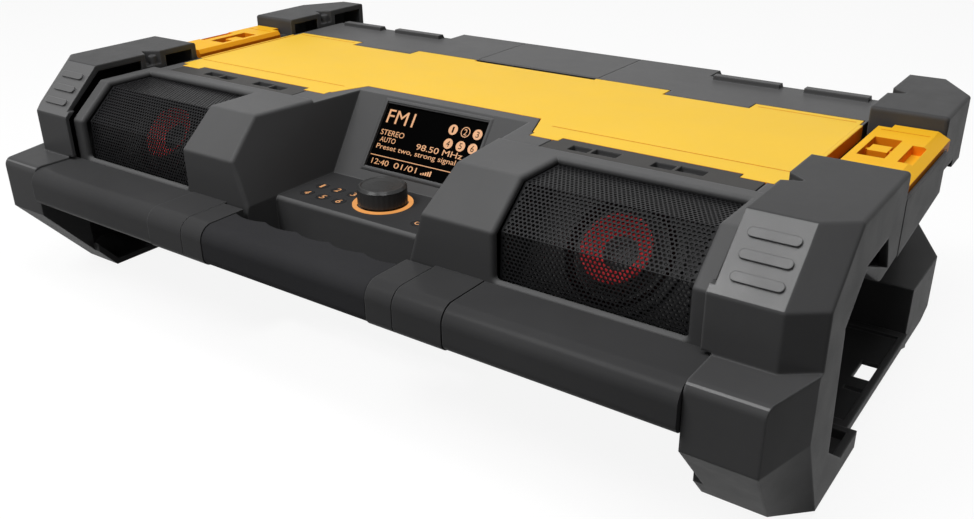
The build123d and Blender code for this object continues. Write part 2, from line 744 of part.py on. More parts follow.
def make_side_rail():
    """Lower rail between the feet: a thin plate with a rim, pierced by two slots."""
    y0, y1 = block_heel, rear_bumper_front - 1.5
    rail = prism_x([(y0, pad_thick + 1), (y0 + 10, rail_top - 5.5), (y1 - 10, rail_top - 5.5),
                    (y1, pad_thick + 1), (y1, rail_top), (y0, rail_top)],
                   body_half, rear_bumper_out)
    rail -= block(body_half + 8, rear_bumper_out - rail_rim, y0 + 6, y1 - 6, rail_top - 2.5, rail_top + 1)
    for y, long in rail_slots:
        rail -= block(half_width - 19, half_width - 9.5, y - long / 2, y + long / 2, 0, rail_top + 1)
    rail += block(body_half, body_half + 4.0, y0, y1, rail_top, beam_top)
    return rail


# ---------------------------------------------------------------- latches
def make_latch():
    """Side latch: a bevelled block with a window, a hook in it and a finger recess."""
    y0, y1 = latch_front + 6.5, latch_back - 6.5
    section = [
        (latch_in + 1.0, latch_axis_z - 3.0),
        (latch_in, latch_top - 3.0),
        (latch_in + 2.0, latch_top),
        (latch_out - 6.5, latch_top),
        (latch_out, latch_top - 3.5),
        (latch_out, latch_axis_z - 0.5),
        (latch_out - 2.0, latch_axis_z - 2.0),
        (latch_in + 12.0, latch_axis_z - 4.0),
    ]
    body = prism_y(section, latch_front, latch_back)
    body -= block(latch_in + 6, latch_in + 20, latch_middle - 13.5, latch_middle + 20.5,
                  latch_axis_z - 10, height)
    body -= block(latch_out - 12, latch_out - 5, latch_middle - 15, latch_middle + 15,
                  latch_top - 5.0, height)
    # a moulded line runs just behind the rear edge of the top
    body -= block(latch_in + 5, latch_out - 8, latch_back - 12.5, latch_back - 11.7,
                  latch_top - 0.6, height)
    # room for the bearing posts of the pin, and the bore
    for y in (latch_front - 1, y1):
        body -= block(latch_in - 5, latch_axis_x + latch_post_radius + seat_gap, y, y + 7.5,
                      latch_axis_z - 15, height)
    hook = prism_y([(latch_in + 8, latch_top - 1.0), (latch_in + 18, latch_top - 1.0),
                    (latch_in + 18, latch_axis_z - 1.5), (latch_in + 13, latch_axis_z - 8.5),
                    (latch_in + 10, latch_axis_z - 8.5), (latch_in + 13.5, latch_axis_z - 1.5),
                    (latch_in + 8, latch_axis_z + 1.5)], latch_middle - 1, latch_middle + 10)
    hook += block(latch_in + 5, latch_in + 21, latch_middle + 3, latch_middle + 6,
                  latch_axis_z - 1.5, latch_top - 2.0)
    body += hook
    body -= rod_y(y0 - 10, y1 + 10, latch_axis_x, latch_axis_z, latch_pin_radius + slip)
    return body


# ---------------------------------------------------------------- lid and media bay
def make_lid():
    lid = prism_z(lid_outline(), lid_axis_z, deck_z)
    skirt = prism_z(hatch_outline(1.2), lid_axis_z - 5.0, lid_axis_z) \
        - prism_z(hatch_outline(4.2), lid_axis_z - 6.0, lid_axis_z)
    lid += skirt
    for x0, x1 in lid_tabs:
        lid += both_sides(block(x0, x1, lid_front - lid_tab_reach, lid_front + 2.0,
                                deck_z - lid_tab_thick, deck_z))
    # a fine groove follows the front and the rear edge
    for x0, y in ((notch_wide + 3.0, lid_front + 15.0), (lug_out + 4.0, lid_back_out - 5.5)):
        lid -= both_sides(block(x0, lid_half - 3.0, y, y + 0.8, deck_z - 0.6, deck_z + 1))
    # hinge ears
    for x0 in (lug_in - 0.8 - ear_length, lug_out + 0.8):
        ear = rod_x(x0, x0 + ear_length, lid_axis_y, lid_axis_z, barrel_radius)
        lid += both_sides(ear)
    bore = rod_x(-lug_out - 2 * ear_length, lug_out + 2 * ear_length, lid_axis_y, lid_axis_z,
                 pin_radius + slip)
    return lid - bore


def make_gasket():
    """Soft seal let into the rim round the hatch."""
    top = lid_axis_z - seat_gap
    return prism_z(hatch_outline(-3.5), top - 2.0, top) \
        - prism_z(hatch_outline(-1.0), top - 3.0, top + 1)


def make_tray():
    """Open tray of the media bay, hung from the rim of the hatch."""
    top = lid_axis_z - seat_gap - 2 * wall
    tray = prism_z(hatch_outline(-2.0), tray_floor_z, top + 0.0)
    return tray - prism_z(hatch_outline(0.5), tray_floor_z + 2.5, top + 1)


# ---------------------------------------------------------------- speakers
def make_grille():
    line = mesh_path()
    back = mesh_path(mesh_thick)
    return prism_x(line + list(reversed(back)), bay_in + seat_gap, bay_out - seat_gap)


def make_speaker_box():
    """Sealed box behind the mesh with a slanted baffle that carries the driver."""
    x0, x1 = bay_in + seat_gap, bay_out - seat_gap
    face = mesh_path(mesh_thick)
    rear_y = mesh_back + 14.0
    low_z = mesh_foot_z - 13
    step_y, step_z = hood_back - wall - 0.8, deck_z - wall - 0.8
    outer = [(rear_y, step_z), (step_y, step_z), (step_y, mesh_fold_z - mesh_thick), *face,
             (mesh_foot + mesh_thick, low_z), (rear_y, low_z)]
    inner = [(rear_y - 3, step_z - 3), (mesh_back + 2, step_z - 3),
             (mesh_back + 2, 200), (front, 200), (front, mesh_foot_z + 2.5),
             (mesh_foot + 4.5, mesh_foot_z + 2.5), (mesh_foot + 4.5, low_z + 3),
             (rear_y - 3, low_z + 3)]
    box = prism_x(outer, x0, x1) - prism_x(inner, x0 + 3, x1 - 3)
    # the baffle spans the box on the driver's plane
    slab = driver_plane * Pos(bay_mid - driver_x, 0, -2.0) * Box(x1 - x0 - 2, 200, 4)
    slab = slab & prism_x([(rear_y - 1, mesh_fold_z - 3), (mesh_back + 2, mesh_fold_z - 3),
                           (mesh_fold + 10, mesh_fold_z - 8), (mesh_low + 5, mesh_foot_z + 12),
                           (mesh_foot + 4.5, mesh_foot_z + 2.5), (mesh_foot + 4.5, low_z + 1),
                           (rear_y - 1, low_z + 1)], x0 + 1, x1 - 1)
    box += slab
    return box - driver_plane * Cylinder(driver_radius - 3.0, 60)


bay_mid = (bay_in + bay_out) / 2
driver_tilt = Vector(0, -0.74, 0.67).normalized()
driver_plane = Plane((driver_x, driver_y, driver_z), (1, 0, 0), driver_tilt)


def make_driver_frame():
    """Pressed basket with its rim on the baffle, and the magnet behind it."""
    rim = Cylinder(driver_radius, 2.5, align=(Align.CENTER, Align.CENTER, Align.MIN))
    rim -= Cylinder(driver_radius - 4.5, 10)
    wallring = Pos(0, 0, -14) * Cone(15, driver_radius - 3.6, 14,
                                     align=(Align.CENTER, Align.CENTER, Align.MIN))
    wallring -= Pos(0, 0, -12.5) * Cone(14, driver_radius - 5.0, 13,
                                        align=(Align.CENTER, Align.CENTER, Align.MIN))
    magnet = Pos(0, 0, -21) * Cylinder(18, 8, align=(Align.CENTER, Align.CENTER, Align.MIN))
    return driver_plane * (rim + wallring + magnet)


def make_cone():
    outer = Pos(0, 0, -9) * Cone(dust_cap_radius - 2, cone_radius - 2, 9,
                                 align=(Align.CENTER, Align.CENTER, Align.MIN))
    inner = Pos(0, 0, -8) * Cone(dust_cap_radius - 2, cone_radius - 2, 9,
                                 align=(Align.CENTER, Align.CENTER, Align.MIN))
    cap = Pos(0, 0, -9) * Cylinder(dust_cap_radius - 2, 3,
                                   align=(Align.CENTER, Align.CENTER, Align.MIN))
    return driver_plane * (outer - inner + cap)


def make_surround():
    ring = Torus(cone_radius, 2.0) & Pos(0, 0, 2) * Box(80, 80, 4)
    ring -= Torus(cone_radius, 1.1)
    return driver_plane * ring


# ---------------------------------------------------------------- console pieces
def make_lens():
    return fascia * Pos(0, 0, -2.4) * Box(screen_width - 2 * skin * 5, screen_height - 0.2, 2.0)


def make_display():
    glass = Pos(0, 0, -3.4 - 1.5) * Box(screen_width - 1, screen_height - 1, 3.0)
    board = Pos(0, 0, -6.4 - 0.8) * Box(screen_width + 8, screen_height + 6, 1.6)
    legs = [Pos(sx * (screen_width / 2 + 1.5), 0, (-6.4 - wall) / 2) * Box(2.5, 30, 6.4 - wall)
            for sx in (-1, 1)]
    module = glass + board
    for leg in legs:
        module += leg
    return fascia * module


def make_encoder():
    body = block(-6.5, 6.5, knob_y - 6.5, knob_y + 6.5, board_top, shelf_under)
    bush = rod_z(shelf_under, shelf_z + 1.5, 0, knob_y, bush_radius)
    return body + bush - rod_z(board_top + 2, shelf_z + 2, 0, knob_y, shaft_radius + slip)


def make_knob():
    base = shelf_z + 1.0
    cap = rod_z(base, base + knob_height, 0, knob_y, knob_radius)
    top = cap.edges().sort_by(Axis.Z)[-1]
    cap = chamfer(top, 1.4)
    cap -= rod_z(base - 1, base + 3, 0, knob_y, 6.0)
    return cap + rod_z(board_top + 2.5, base + 4, 0, knob_y, shaft_radius)


def make_light_ring():
    z0 = shelf_z - 1.0
    return rod_z(z0, shelf_z + 0.6, 0, knob_y, ring_outer) - rod_z(z0 - 1, z0 + 5, 0, knob_y, ring_inner)


def make_button(x, y):
    cap = rod_z(shelf_under - seat_gap, shelf_z, x, y, button_radius)
    flange = rod_z(shelf_under - seat_gap - 1.5, shelf_under - seat_gap, x, y, button_radius + 0.9)
    stem = rod_z(switch_top + button_travel + seat_gap, shelf_under - seat_gap, x, y, 2.0)
    return cap + flange + stem


switch_top = board_top + 4.2


def make_switches():
    group = []
    for x, y in button_spots.values():
        body = block(x - 3, x + 3, y - 3, y + 3, board_top, switch_top - 1.0)
        group.append(body + rod_z(switch_top - 1.0, switch_top, x, y, 1.7))
    return Compound(children=group)


def make_control_board():
    board = block(-64.0, 64.0, button_row_front - 8, button_row_back + 7, board_top - 1.6, board_top)
    posts = [block(x - 2.0, x + 2.0, knob_y - 2.5, knob_y + 2.5, board_top, shelf_under)
             for x in (-60.5, 60.5)]
    for post in posts:
        board += post
    return board


# ---------------------------------------------------------------- battery bay and inside
def make_cover():
    cover = prism_x(cover_outline(), -cover_half, cover_half)
    for x in (-31.0, 31.0):
        cover += block(x - 4.5, x + 4.5, cover_axis_y - 3.0, cover_axis_y + 3.0,
                       cover_axis_z - 3.0, deck_z - 1)
    for x in (-20, 20):
        cover -= block(x - 6.5, x + 6.5, cover_front - 1, cover_axis_y + 4.5,
                       cover_axis_z - 8, cover_axis_z + cover_lug_radius + seat_gap)
    return cover - rod_x(-cover_half - 1, cover_half + 1, cover_axis_y, cover_axis_z,
                         pin_radius + slip)


def make_battery_tray():
    half = battery_half - 0.5
    y0, y1 = battery_front, body_rear - wall - 5.0
    top = deck_z - cover_drop - 14.0
    tray = block(-half, half, y0, y1, battery_floor_z, top)
    # the front wall rises to the deck, which carries it
    tray += block(-half, half, y0, y0 + 3, battery_floor_z, cover_axis_z - 3.0)
    tray -= block(-half + 3, half - 3, y0 + 3, y1 - 3, battery_floor_z + 3, top + 1)
    for sx in (-1, 1):
        tray += block(sx * (half - 4.5) - 2.5, sx * (half - 4.5) + 2.5, y0 + 2, y1 - 12,
                      battery_floor_z + 22, battery_floor_z + 25)
    return tray


def make_terminals():
    y0 = battery_front + 3.5
    body = block(-16, 16, y0, y0 + 9, battery_floor_z + 3, battery_floor_z + 24)
    for x in (-10.5, -3.5, 3.5, 10.5):
        body += block(x - 0.4, x + 0.4, y0 + 9, y0 + 20, battery_floor_z + 8, battery_floor_z + 18)
    return body


def make_power_supply():
    z0 = floor_z + wall
    board = block(-150, -50, -30, 90, z0 + 6, z0 + 7.6)
    core = block(-135, -85, -15, 35, z0 + 7.6, z0 + 46)
    coil = rod_y(35, 55, -110, z0 + 27, 16)
    heat_sink = block(-75, -72, -10, 70, z0 + 7.6, z0 + 40)
    posts = [rod_z(z0, z0 + 6, x, y, 4) for x in (-144, -56) for y in (-24, 84)]
    supply = board + core + coil + heat_sink
    for post in posts:
        supply += post
    return supply


def make_main_board():
    z0 = floor_z + wall
    board = block(30, 180, -40, 70, z0 + 6, z0 + 7.6)
    for x, y, wide, deep, tall in ((60, -10, 16, 16, 3), (110, 20, 30, 24, 9), (150, -20, 12, 30, 14),
                                   (85, 50, 10, 10, 12)):
        board += block(x, x + wide, y, y + deep, z0 + 7.6, z0 + 7.6 + tall)
    for x in (36, 174):
        for y in (-34, 64):
            board += rod_z(z0, z0 + 6, x, y, 4)
    return board


inlet_x = -150.0
inlet_z = parting_z + 10.5


def make_inlet():
    """Two pin appliance inlet low in the rear wall."""
    inlet = block(inlet_x - 20, inlet_x + 20, body_rear, body_rear + 2.5, inlet_z - 9, inlet_z + 9)
    inlet += block(inlet_x - 11.5, inlet_x + 11.5, body_rear - 18, body_rear, inlet_z - 7.5, inlet_z + 7.5)
    inlet -= block(inlet_x - 4.5, inlet_x + 4.5, body_rear - 14, body_rear + 4, inlet_z - 5, inlet_z + 5)
    for sx in (-1, 1):
        inlet -= rod_y(body_rear - 14, body_rear + 4, inlet_x + sx * 4.5, inlet_z, 5.0)
    for sx in (-1, 1):
        inlet += rod_y(body_rear - 15, body_rear - 2, inlet_x + sx * 4.3, inlet_z, 1.2)
    return inlet


def make_ports():
    """Small socket panel on the tray floor's front right corner."""
    y0 = hatch_front + 0.5
    panel = block(150, 200, y0, y0 + 8, tray_floor_z + 2.5, tray_floor_z + 32)
    panel -= block(158, 171, y0 + 2, y0 + 9, tray_floor_z + 16, tray_floor_z + 21.5)
    panel -= rod_y(y0 + 2, y0 + 9, 186, tray_floor_z + 19, 3.2)
    return panel


# ---------------------------------------------------------------- assembly
upper_deck = make_upper_deck()
lower_shell = make_lower_shell()

# the rear wall is cut for the body of the mains inlet
upper_deck -= block(inlet_x - 11.5, inlet_x + 11.5, body_rear - 19, body_rear + 1,
                    inlet_z - 7.5, inlet_z + 7.5)

speaker_box = make_speaker_box()
front_bumper = make_front_bumper()
rear_bumper = make_rear_bumper()

save("upper_deck", upper_deck)
save("lower_shell", lower_shell)
save_pair("bumper_front", front_bumper)
save_pair("bumper_rear", rear_bumper)
save_pair("side_handle", make_side_handle())
save_pair("side_rail", make_side_rail())

pad_front = block(body_half + 10, corner_flat, front + 60, front + 112, 0, pad_thick)
pad_rear = block(body_half + 10, corner_flat, rear_bumper_front + 4.5, rear - 105, 0, pad_thick)
save("foot_pads", both_sides(pad_front + pad_rear))

bar_z = bar_top - bar_height / 2
bar_y = front + 15.0
save("bar_core", rod_x(-bar_end, bar_end, bar_y, bar_z, core_radius))
save_pair("bar_sleeve", bar_segment(bracket_out + bar_joint, bar_end - bar_joint,
                                    body_front - front - bar_depth))
save_pair("bar_bracket", bar_segment(bracket_in + bar_joint, bracket_out,
                                     body_front - front - bar_depth, 0.4))
save_pair("bar_collar", bar_segment(grip_half, bracket_in, 0, 0.4))
save("bar_grip", make_grip())

save_pair("grille", make_grille())
save_pair("speaker_box", speaker_box)
save_pair("driver_frame", make_driver_frame())
save_pair("driver_cone", make_cone())
save_pair("driver_surround", make_surround())

save("display_lens", make_lens())
save("display_module", make_display())
save("control_board", make_control_board())
save("switch_set", make_switches())
save("encoder", make_encoder())
save("volume_knob", make_knob())
save("light_ring", make_light_ring())
for name, (x, y) in button_spots.items():
    save(name, make_button(x, y))

save("media_lid", make_lid())
save("storage_tray", make_tray())
save("lid_gasket", make_gasket())
save("media_ports", make_ports())
latch = make_latch()
save_pair("latch", latch)

lid_pin = rod_x(lug_in - ear_length, lug_out + ear_length, lid_axis_y, lid_axis_z, pin_radius)
cover_pin = rod_x(-36, 36, cover_axis_y, cover_axis_z, pin_radius)
latch_pin = rod_y(plateau_back, rear_bumper_front, latch_axis_x, latch_axis_z, latch_pin_radius)
save("hinge_pins", Compound(children=[lid_pin, other_side(lid_pin), cover_pin, latch_pin,
                                      other_side(latch_pin)]))

save("battery_cover", make_cover())
save("battery_tray", make_battery_tray())
save("battery_terminals", make_terminals())
save("power_supply", make_power_supply())
save("main_board", make_main_board())
save("mains_inlet", make_inlet())
save("case_screws", make_screws())
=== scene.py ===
import json
import math

import bmesh
import bpy
from mathutils import Matrix, Vector


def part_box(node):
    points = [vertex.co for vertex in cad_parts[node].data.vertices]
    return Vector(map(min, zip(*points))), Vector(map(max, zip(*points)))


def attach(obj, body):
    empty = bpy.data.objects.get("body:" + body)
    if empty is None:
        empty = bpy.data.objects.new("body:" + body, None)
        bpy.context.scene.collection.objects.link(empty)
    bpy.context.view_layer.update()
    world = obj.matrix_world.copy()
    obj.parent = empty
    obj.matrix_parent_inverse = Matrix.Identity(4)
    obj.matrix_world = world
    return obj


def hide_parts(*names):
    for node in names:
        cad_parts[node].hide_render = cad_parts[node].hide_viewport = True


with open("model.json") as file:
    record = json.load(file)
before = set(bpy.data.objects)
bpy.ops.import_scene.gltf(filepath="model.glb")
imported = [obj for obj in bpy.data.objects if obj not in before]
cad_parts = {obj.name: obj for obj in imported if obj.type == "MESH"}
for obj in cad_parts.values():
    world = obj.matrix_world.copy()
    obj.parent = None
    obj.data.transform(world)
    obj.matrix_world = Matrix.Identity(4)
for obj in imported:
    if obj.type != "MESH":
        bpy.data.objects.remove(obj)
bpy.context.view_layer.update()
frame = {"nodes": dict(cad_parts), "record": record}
nodes = frame["nodes"]
body_of = {n: b for b, ns in frame["record"]["behaviour"]["bodies"].items() for n in ns}
slot_of = {s["node"]: s["material_slot"] for s in frame["record"]["subparts"]}

MM = 0.001
SIDES = (("right", 1), ("left", -1))

# measures of the nodes, for what is added to them
key_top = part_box("preset_button_1")[1].z
lens_low, lens_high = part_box("display_lens")
lid_low, lid_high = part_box("media_lid")
deck_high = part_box("upper_deck")[1]
case = body_of["upper_deck"]


# ------------------------------------------------------------------ node helpers
NOISE_LOW = 0.3            # a noise lies mostly between these
NOISE_HIGH = 0.7


def new_material(name):
    mat = bpy.data.materials.new(name)
    mat.use_nodes = True
    tree = mat.node_tree
    shader = tree.nodes["Principled BSDF"]
    return mat, tree, shader


def add(tree, kind, **values):
    """A node with the values set on its inputs or, where none has that name, on itself."""
    node = tree.nodes.new(kind)
    for key, value in values.items():
        if key in node.inputs:
            node.inputs[key].default_value = value
        else:
            setattr(node, key, value)
    return node


def object_coords(tree):
    return add(tree, "ShaderNodeTexCoord").outputs["Object"]


def noise(tree, vector, scale, detail, rough):
    node = add(tree, "ShaderNodeTexNoise", Scale=scale, Detail=detail, Roughness=rough)
    tree.links.new(vector, node.inputs["Vector"])
    return node.outputs["Fac"]


def remap(tree, value, low, high, start=NOISE_LOW, end=NOISE_HIGH):
    """The value stretched so that start gives low and end gives high."""
    node = add(tree, "ShaderNodeMapRange")
    node.inputs["From Min"].default_value = start
    node.inputs["From Max"].default_value = end
    node.inputs["To Min"].default_value = low
    node.inputs["To Max"].default_value = high
    tree.links.new(value, node.inputs["Value"])
    return node.outputs["Result"]


def two_colours(tree, value, dark, light):
    ramp = add(tree, "ShaderNodeValToRGB")
    ramp.color_ramp.elements[0].position = NOISE_LOW
    ramp.color_ramp.elements[0].color = (*dark, 1)
    ramp.color_ramp.elements[1].position = NOISE_HIGH
    ramp.color_ramp.elements[1].color = (*light, 1)
    tree.links.new(value, ramp.inputs["Fac"])
    return ramp.outputs["Color"]


def mixed(tree, factor, first, second):
    """Mix of two colours, each a socket or a plain colour."""
    mix = add(tree, "ShaderNodeMix", data_type="RGBA")
    tree.links.new(factor, mix.inputs["Factor"])
    for socket, colour in (("A", first), ("B", second)):
        target = next(i for i in mix.inputs if i.name == socket and i.type == "RGBA")
        if isinstance(colour, tuple):
            target.default_value = (*colour, 1)
        else:
            tree.links.new(colour, target)
    return next(o for o in mix.outputs if o.type == "RGBA")


def bumped(tree, shader, height, strength, depth):
    """Roughen the shader's normal by the height, and give back the node that does it."""
    bump = add(tree, "ShaderNodeBump", Strength=strength, Distance=depth)
    tree.links.new(height, bump.inputs["Height"])
    tree.links.new(bump.outputs["Normal"], shader.inputs["Normal"])
    return bump


def scaled(colour, factor):
    return tuple(min(1.0, c * factor) for c in colour)


# ------------------------------------------------------------------ kinds of surface
DULL = 1.08                # index of a dull moulded skin, which mirrors little at low angles
SATIN = 1.45               # index of a skin that mirrors the lamps softly
GRAIN_DEPTH = 0.06 * MM
GRAIN_SCALE = 1500.0
CLOUD_SCALE = 14.0         # slow drift of a moulding's colour
SMUDGE_SCALE = 55.0        # scuffs in its gloss
SCUFF_GLOSS = 0.05         # roughness below the stated one
SCUFF_DULL = 0.06          # and above it
COAT_ROUGH = 0.22
BEVEL_SAMPLES = 6
SIDEWAYS = 0.2             # normal z that shows all the painted side shade
UPWARDS = 0.9              # and none
EDGE_MIDDLE = 0.80         # cosine between rounded and flat normal amid a painted edge highlight
EDGE_END = 0.985           # and at its end
METAL_SCALE = 900.0
STREAK_GLOSS = 0.08
STREAK_DULL = 0.10
GLOW_SCALE = 220.0
GLOW_LOW = 0.85            # weakest share of a glow
GLOW_BASE = (0.02, 0.01, 0.005)
FIBRE_SCALE = 1100.0
CLOTH_ROUGH = (0.55, 0.8)


def worn_edges(tree, soft, tint, gain):
    """The tint, lighter where the rounded normal leaves the flat one: a painted highlight along
    the edges.
    """
    plain = add(tree, "ShaderNodeNewGeometry")
    product = add(tree, "ShaderNodeVectorMath", operation="DOT_PRODUCT")
    tree.links.new(soft, product.inputs[0])
    tree.links.new(plain.outputs["True Normal"], product.inputs[1])
    share = remap(tree, product.outputs["Value"], gain, 1.0, EDGE_MIDDLE, EDGE_END)
    scale = add(tree, "ShaderNodeVectorMath", operation="SCALE")
    tree.links.new(tint, scale.inputs["Vector"])
    tree.links.new(share, scale.inputs["Scale"])
    return scale.outputs["Vector"]


def moulded_plastic(name, colour, rough, grain=GRAIN_DEPTH, grain_scale=GRAIN_SCALE, level=0.3,
                    variation=0.08, round_edges=0.0, side_shade_colour=None, edge_highlight_gain=1.0, coat=0.0,
                    ior=DULL):
    """Moulded plastic: cloudy colour, spark-eroded grain and scuffed gloss.

    With a side shade colour, faces that look sideways take that deeper tint as painted shade.
    Edges are lighter by the edge highlight gain, a painted highlight, and the coat gives them a
    crisp glint."""
    mat, tree, shader = new_material(name)
    vector = object_coords(tree)
    cloud = noise(tree, vector, CLOUD_SCALE, detail=5.0, rough=0.6)
    tint = two_colours(tree, cloud, scaled(colour, 1 - variation), scaled(colour, 1 + variation))
    if side_shade_colour:
        facing = add(tree, "ShaderNodeSeparateXYZ")
        tree.links.new(add(tree, "ShaderNodeTexCoord").outputs["Normal"], facing.inputs["Vector"])
        tint = mixed(tree, remap(tree, facing.outputs["Z"], 0.0, 1.0, SIDEWAYS, UPWARDS),
                     side_shade_colour, tint)
    smudge = noise(tree, vector, SMUDGE_SCALE, detail=6.0, rough=0.65)
    tree.links.new(remap(tree, smudge, rough - SCUFF_GLOSS, rough + SCUFF_DULL),
                   shader.inputs["Roughness"])
    grains = noise(tree, vector, grain_scale, detail=3.0, rough=0.7)
    bump = bumped(tree, shader, grains, strength=0.6, depth=grain)
    if round_edges:
        soft = add(tree, "ShaderNodeBevel", Radius=round_edges)
        soft.samples = BEVEL_SAMPLES
        tree.links.new(soft.outputs["Normal"], bump.inputs["Normal"])
        tint = worn_edges(tree, soft.outputs["Normal"], tint, edge_highlight_gain)
    tree.links.new(tint, shader.inputs["Base Color"])
    shader.inputs["Specular IOR Level"].default_value = level
    shader.inputs["IOR"].default_value = ior
    shader.inputs["Coat Weight"].default_value = coat
    shader.inputs["Coat Roughness"].default_value = COAT_ROUGH
    return mat


def metal(name, colour, rough, metallic=1.0, ior=1.5):
    """Finely streaked metal or, with no metallic share, powder coat on it."""
    mat, tree, shader = new_material(name)
    streak = noise(tree, object_coords(tree), METAL_SCALE, detail=3.0, rough=0.6)
    tree.links.new(two_colours(tree, streak, scaled(colour, 0.85), scaled(colour, 1.1)),
                   shader.inputs["Base Color"])
    tree.links.new(remap(tree, streak, rough - STREAK_GLOSS, rough + STREAK_DULL),
                   shader.inputs["Roughness"])
    shader.inputs["Metallic"].default_value = metallic
    shader.inputs["IOR"].default_value = ior
    bumped(tree, shader, streak, strength=0.3, depth=0.03 * MM)
    return mat


def glowing(name, colour, strength):
    """Lit legend or light guide: the glow wavers slightly over the surface."""
    mat, tree, shader = new_material(name)
    wave = noise(tree, object_coords(tree), GLOW_SCALE, detail=2.0, rough=0.5)
    tree.links.new(two_colours(tree, wave, scaled(colour, GLOW_LOW), colour),
                   shader.inputs["Emission Color"])
    shader.inputs["Emission Strength"].default_value = strength
    tree.links.new(two_colours(tree, wave, scaled(GLOW_BASE, 0.8), GLOW_BASE),
                   shader.inputs["Base Color"])
    shader.inputs["Roughness"].default_value = 0.35
    return mat


def woven_cloth(name, colour):
    mat, tree, shader = new_material(name)
    fibre = noise(tree, object_coords(tree), FIBRE_SCALE, detail=4.0, rough=0.6)
    tree.links.new(two_colours(tree, fibre, scaled(colour, 0.75), scaled(colour, 1.15)),
                   shader.inputs["Base Color"])
    tree.links.new(remap(tree, fibre, *CLOTH_ROUGH), shader.inputs["Roughness"])
    bumped(tree, shader, fibre, strength=0.5, depth=0.2 * MM)
    return mat


# ------------------------------------------------------------------ mesh helpers
INK = 0.05                 # thickness of a printed or lit layer, in millimetres


def link_mesh(name, points, faces, material, body):
    """Put points and faces in the scene as one piece of the object."""
    mesh = bpy.data.meshes.new(name)
    mesh.from_pydata(points, [], faces)
    mesh.update()
    return link_piece(name, mesh, material, body)


def link_piece(name, mesh, material, body):
    """Put a finished mesh in the scene as one flat-shaded piece of the object."""
    mesh.materials.clear()
    mesh.materials.append(material)
    for face in mesh.polygons:
        face.use_smooth = False
        face.material_index = 0
    obj = bpy.data.objects.new(name, mesh)
    bpy.context.scene.collection.objects.link(obj)
    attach(obj, body)
    return obj


def merged(meshes):
    """One mesh out of several."""
    work = bmesh.new()
    for mesh in meshes:
        work.from_mesh(mesh)
        bpy.data.meshes.remove(mesh)
    mesh = bpy.data.meshes.new("merged")
    work.to_mesh(mesh)
    work.free()
    return mesh


def slab(outline, place, hole=None):
    """A flat layer of ink in a closed outline, with an optional hole of as many points."""
    work = bmesh.new()
    top = [work.verts.new((x, y, INK)) for x, y in outline]
    foot = [work.verts.new((x, y, 0)) for x, y in outline]
    count = len(outline)
    if hole:
        top_in = [work.verts.new((x, y, INK)) for x, y in hole]
        foot_in = [work.verts.new((x, y, 0)) for x, y in hole]
    for i in range(count):
        j = (i + 1) % count
        work.faces.new((foot[i], foot[j], top[j], top[i]))
        if hole:
            work.faces.new((top[i], top[j], top_in[j], top_in[i]))
            work.faces.new((foot_in[i], foot_in[j], foot[j], foot[i]))
            work.faces.new((top_in[i], top_in[j], foot_in[j], foot_in[i]))
    if not hole:
        work.faces.new(top)
        work.faces.new(list(reversed(foot)))
    work.transform(place)
    mesh = bpy.data.meshes.new("slab")
    work.to_mesh(mesh)
    work.free()
    return mesh


def loop_faces(rings, count, closed=True):
    """Faces between rings of as many points; closed, the last ring joins the first."""
    last = rings if closed else rings - 1
    return [(k * count + i, k * count + (i + 1) % count,
             (k + 1) % rings * count + (i + 1) % count, (k + 1) % rings * count + i)
            for k in range(last) for i in range(count)]


def arc(radius, start=0.0, end=360.0, steps=40, centre=(0.0, 0.0)):
    """Points of an arc in degrees; a full turn leaves its last point out."""
    count = steps if end - start >= 360 else steps + 1
    turns = [math.radians(start + (end - start) * i / steps) for i in range(count)]
    return [(centre[0] + radius * math.cos(t), centre[1] + radius * math.sin(t)) for t in turns]


def box_outline(x0, x1, y0, y1):
    return [(x0, y0), (x1, y0), (x1, y1), (x0, y1)]


def lettering(text, place, low, high, thick=INK):
    """Plain characters stretched to fill the box between two corners, as a mesh."""
    curve = bpy.data.curves.new("lettering", "FONT")
    curve.body = text
    curve.extrude = thick / 2
    holder = bpy.data.objects.new("lettering", curve)
    bpy.context.scene.collection.objects.link(holder)
    bpy.context.view_layer.update()
    drawn = holder.evaluated_get(bpy.context.evaluated_depsgraph_get())
    mesh = bpy.data.meshes.new_from_object(drawn)
    bpy.data.objects.remove(holder)
    bpy.data.curves.remove(curve)
    xs = [v.co.x for v in mesh.vertices]
    ys = [v.co.y for v in mesh.vertices]
    wide = (high[0] - low[0]) / (max(xs) - min(xs))
    tall = (high[1] - low[1]) / (max(ys) - min(ys))
    for v in mesh.vertices:
        v.co.x = low[0] + (v.co.x - min(xs)) * wide
        v.co.y = low[1] + (v.co.y - min(ys)) * tall
        v.co.z += thick / 2
    mesh.transform(place)
    return mesh


